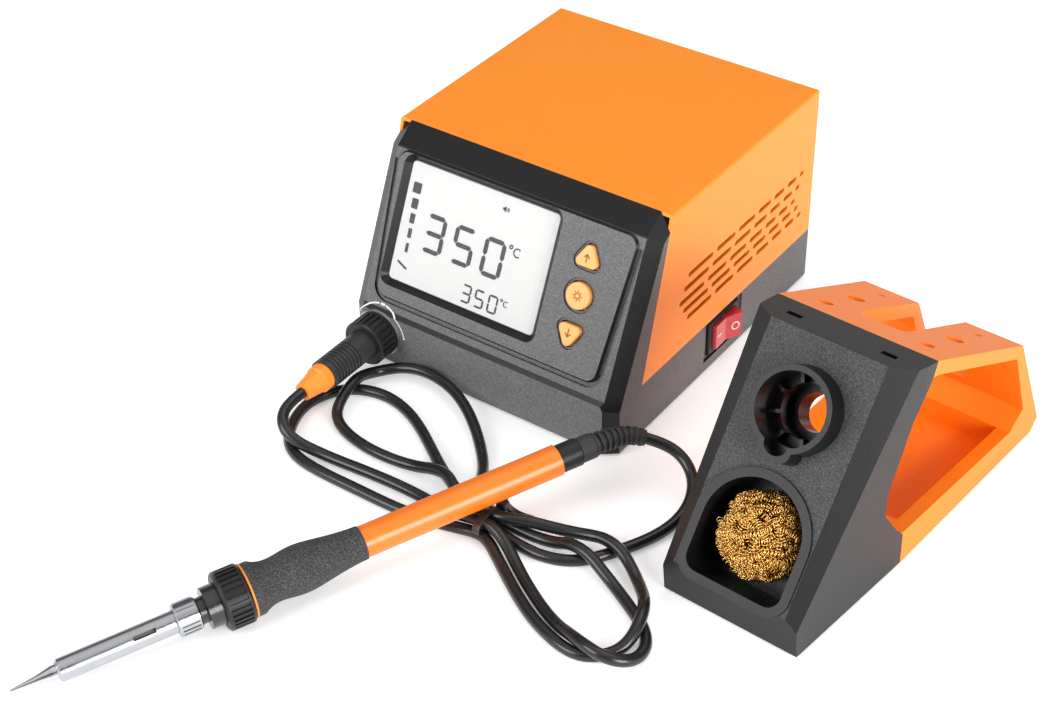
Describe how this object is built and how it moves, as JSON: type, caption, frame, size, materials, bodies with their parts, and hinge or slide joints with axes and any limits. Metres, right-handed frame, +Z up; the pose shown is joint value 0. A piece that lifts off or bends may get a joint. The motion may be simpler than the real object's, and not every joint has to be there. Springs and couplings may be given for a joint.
{
  "type": "soldering iron station",
  "caption": "Temperature-controlled soldering power unit with display, keys and rocker switch, its plugged-in iron on a tied cord, and a separate iron stand with brass cleaning wool.",
  "frame": {"origin": "on the bench, under the middle of the whole set measured without the cord and the plug", "axes": "+Z up, +Y from the power unit's front to its back, +X to the right seen from the front"},
  "size_m": [0.2366, 0.3565, 0.0868],
  "materials": {
    "panel_plastic": "fine moulded texture",
    "display_glass": "clear",
    "display_grey": "satin",
    "button_orange": "satin",
    "circuit_board": "solder mask",
    "black_plastic": "smooth",
    "screw_steel": "plated",
    "cover_orange": "powder coat",
    "foot_rubber": "matte",
    "heatsink_aluminium": "extruded",
    "capacitor_sleeve": "sleeve",
    "brass_parts": "plain",
    "fuse_glass": "clear",
    "core_steel": "laminated",
    "winding_tape": "taped",
    "rocker_red": "translucent",
    "socket_metal": "nickel",
    "boot_orange": "satin",
    "cord_black": "satin",
    "tip_chrome": "polished",
    "heater_ceramic": "unglazed",
    "barrel_steel": "polished",
    "grip_foam": "speckled foam",
    "handle_orange": "satin",
    "wool_brass": "curled strands",
    "frame_orange": "moulded"
  },
  "bodies": {
    "root": {"front_panel": "panel_plastic", "display_window": "display_glass", "display_module": "display_grey", "control_board": "circuit_board", "key_switches": "black_plastic", "buzzer": "black_plastic", "control_board_screws": "screw_steel", "top_cover": "cover_orange", "base_tray": "panel_plastic", "rear_panel": "panel_plastic", "mains_gland": "black_plastic", "mains_gland_nut": "black_plastic", "rear_screws": "screw_steel", "station_feet": "foot_rubber", "base_screws": "screw_steel", "power_board": "circuit_board", "power_board_screws": "screw_steel", "heatsink": "heatsink_aluminium", "triac": "black_plastic", "capacitors": "capacitor_sleeve", "fuse_clips": "brass_parts", "fuse": "fuse_glass", "transformer_core": "core_steel", "transformer_winding": "winding_tape", "transformer_strap": "screw_steel", "transformer_screws": "screw_steel", "rocker_frame": "black_plastic", "iron_socket": "socket_metal", "socket_nut": "screw_steel", "plug_body": "black_plastic", "plug_boot": "boot_orange", "cord_plug_end": "cord_black", "cord_loops_left": "cord_black", "cord_loops_right": "cord_black", "cord_iron_end": "cord_black", "cord_tie": "black_plastic", "iron_tip": "tip_chrome", "heater_rod": "heater_ceramic", "barrel_sleeve": "barrel_steel", "front_collar": "black_plastic", "grip_ring": "boot_orange", "foam_grip": "grip_foam", "handle_tube": "handle_orange", "rear_cap": "black_plastic", "strain_relief": "foot_rubber", "stand_shell": "panel_plastic", "wool_cup": "black_plastic", "iron_holder": "black_plastic", "stand_frame": "frame_orange", "stand_feet": "foot_rubber", "stand_screws": "screw_steel"},
    "button_up": {"button_up": "button_orange"},
    "button_set": {"button_set": "button_orange"},
    "button_down": {"button_down": "button_orange"},
    "rocker": {"rocker_switch": "rocker_red"},
    "plug_collar": {"plug_collar": "black_plastic"},
    "barrel_nut": {"barrel_nut": "barrel_steel"},
    "lock_ring": {"lock_ring": "black_plastic"},
    "brass_wool": {"brass_wool": "wool_brass"}
  },
  "joints": [
    {"name": "button_up_press", "type": "slide", "parent": "root", "child": "button_up", "axis": [0, 0.9064, -0.4224], "range_m": [0, 0.0008], "stiffness_N_per_m": 300},
    {"name": "button_set_press", "type": "slide", "parent": "root", "child": "button_set", "axis": [0, 0.9064, -0.4224], "range_m": [0, 0.0008], "stiffness_N_per_m": 300},
    {"name": "button_down_press", "type": "slide", "parent": "root", "child": "button_down", "axis": [0, 0.9064, -0.4224], "range_m": [0, 0.0008], "stiffness_N_per_m": 300},
    {"name": "rocker_tilt", "type": "hinge", "parent": "root", "child": "rocker", "pos_m": [0.0009, 0.101, 0.0144], "axis": [0, 0, 1], "range_deg": [0, 24]},
    {"name": "plug_collar_turn", "type": "hinge", "parent": "root", "child": "plug_collar", "pos_m": [-0.1048, 0.02, 0.014], "axis": [0, -1, 0], "range_deg": [0, 60]},
    {"name": "barrel_nut_turn", "type": "hinge", "parent": "root", "child": "barrel_nut", "pos_m": [-0.06361, -0.12505, 0.00949], "axis": [0.4443, 0.8932, 0.0696], "range_deg": [0, 360]},
    {"name": "lock_ring_turn", "type": "hinge", "parent": "root", "child": "lock_ring", "pos_m": [-0.05646, -0.11066, 0.01061], "axis": [0.4443, 0.8932, 0.0696], "range_deg": [0, 360]},
    {"name": "brass_wool_lift", "type": "slide", "parent": "root", "child": "brass_wool", "axis": [-0.0466, -0.8081, 0.5871], "range_m": [0, 0.035]}
  ]
}
